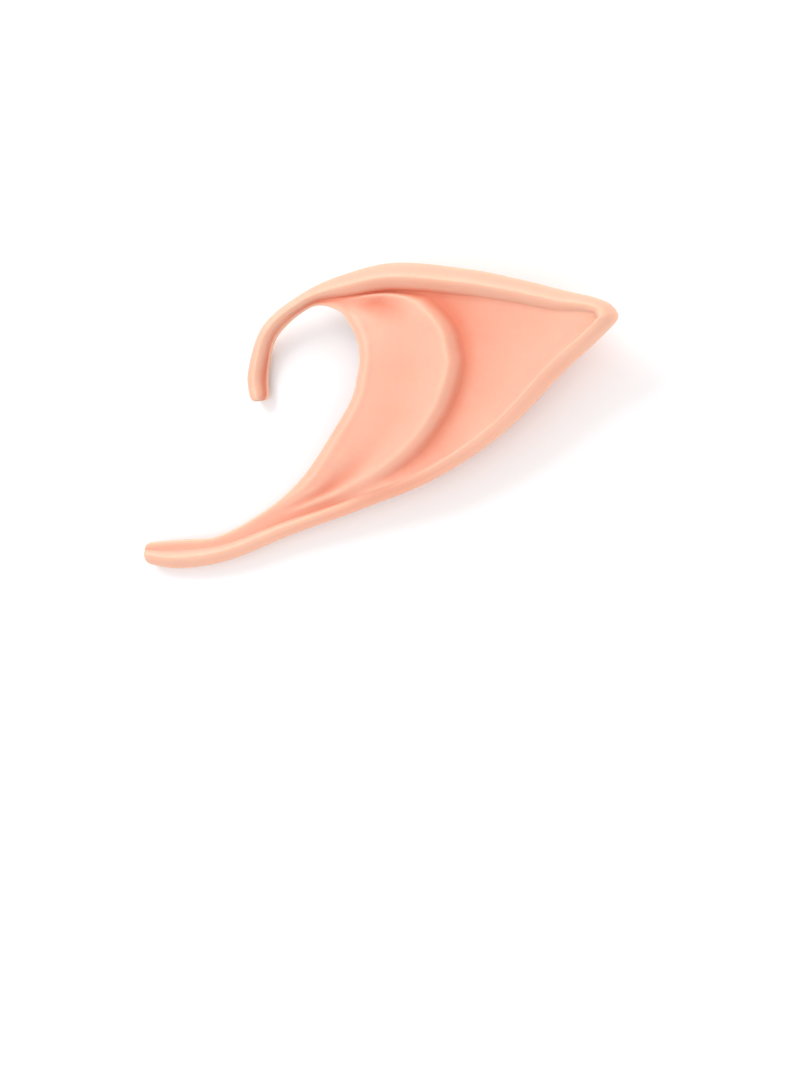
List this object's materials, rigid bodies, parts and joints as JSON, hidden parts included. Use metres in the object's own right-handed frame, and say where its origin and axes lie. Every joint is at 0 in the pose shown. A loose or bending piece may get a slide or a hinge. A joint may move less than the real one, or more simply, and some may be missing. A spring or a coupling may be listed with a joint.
{
  "type": "elf ear tip",
  "caption": "Hollow one-piece soft ear extension with a pointed end, rolled rim, upper hook, lower tail and an open pocket that slips over the wearer's own ear.",
  "frame": {"origin": "on the surface that the ear lies on, below the middle of its bounding box", "axes": "+X from the tail and the open pocket towards the point, +Y from the tail towards the top of the rim, +Z out of the front face"},
  "size_m": [0.1092, 0.0622, 0.0174],
  "materials": {
    "latex": "matte peach foam-free latex, slightly translucent, satin on the raised rim"
  },
  "bodies": {
    "root": {"ear_shell": "latex"}
  },
  "joints": []
}
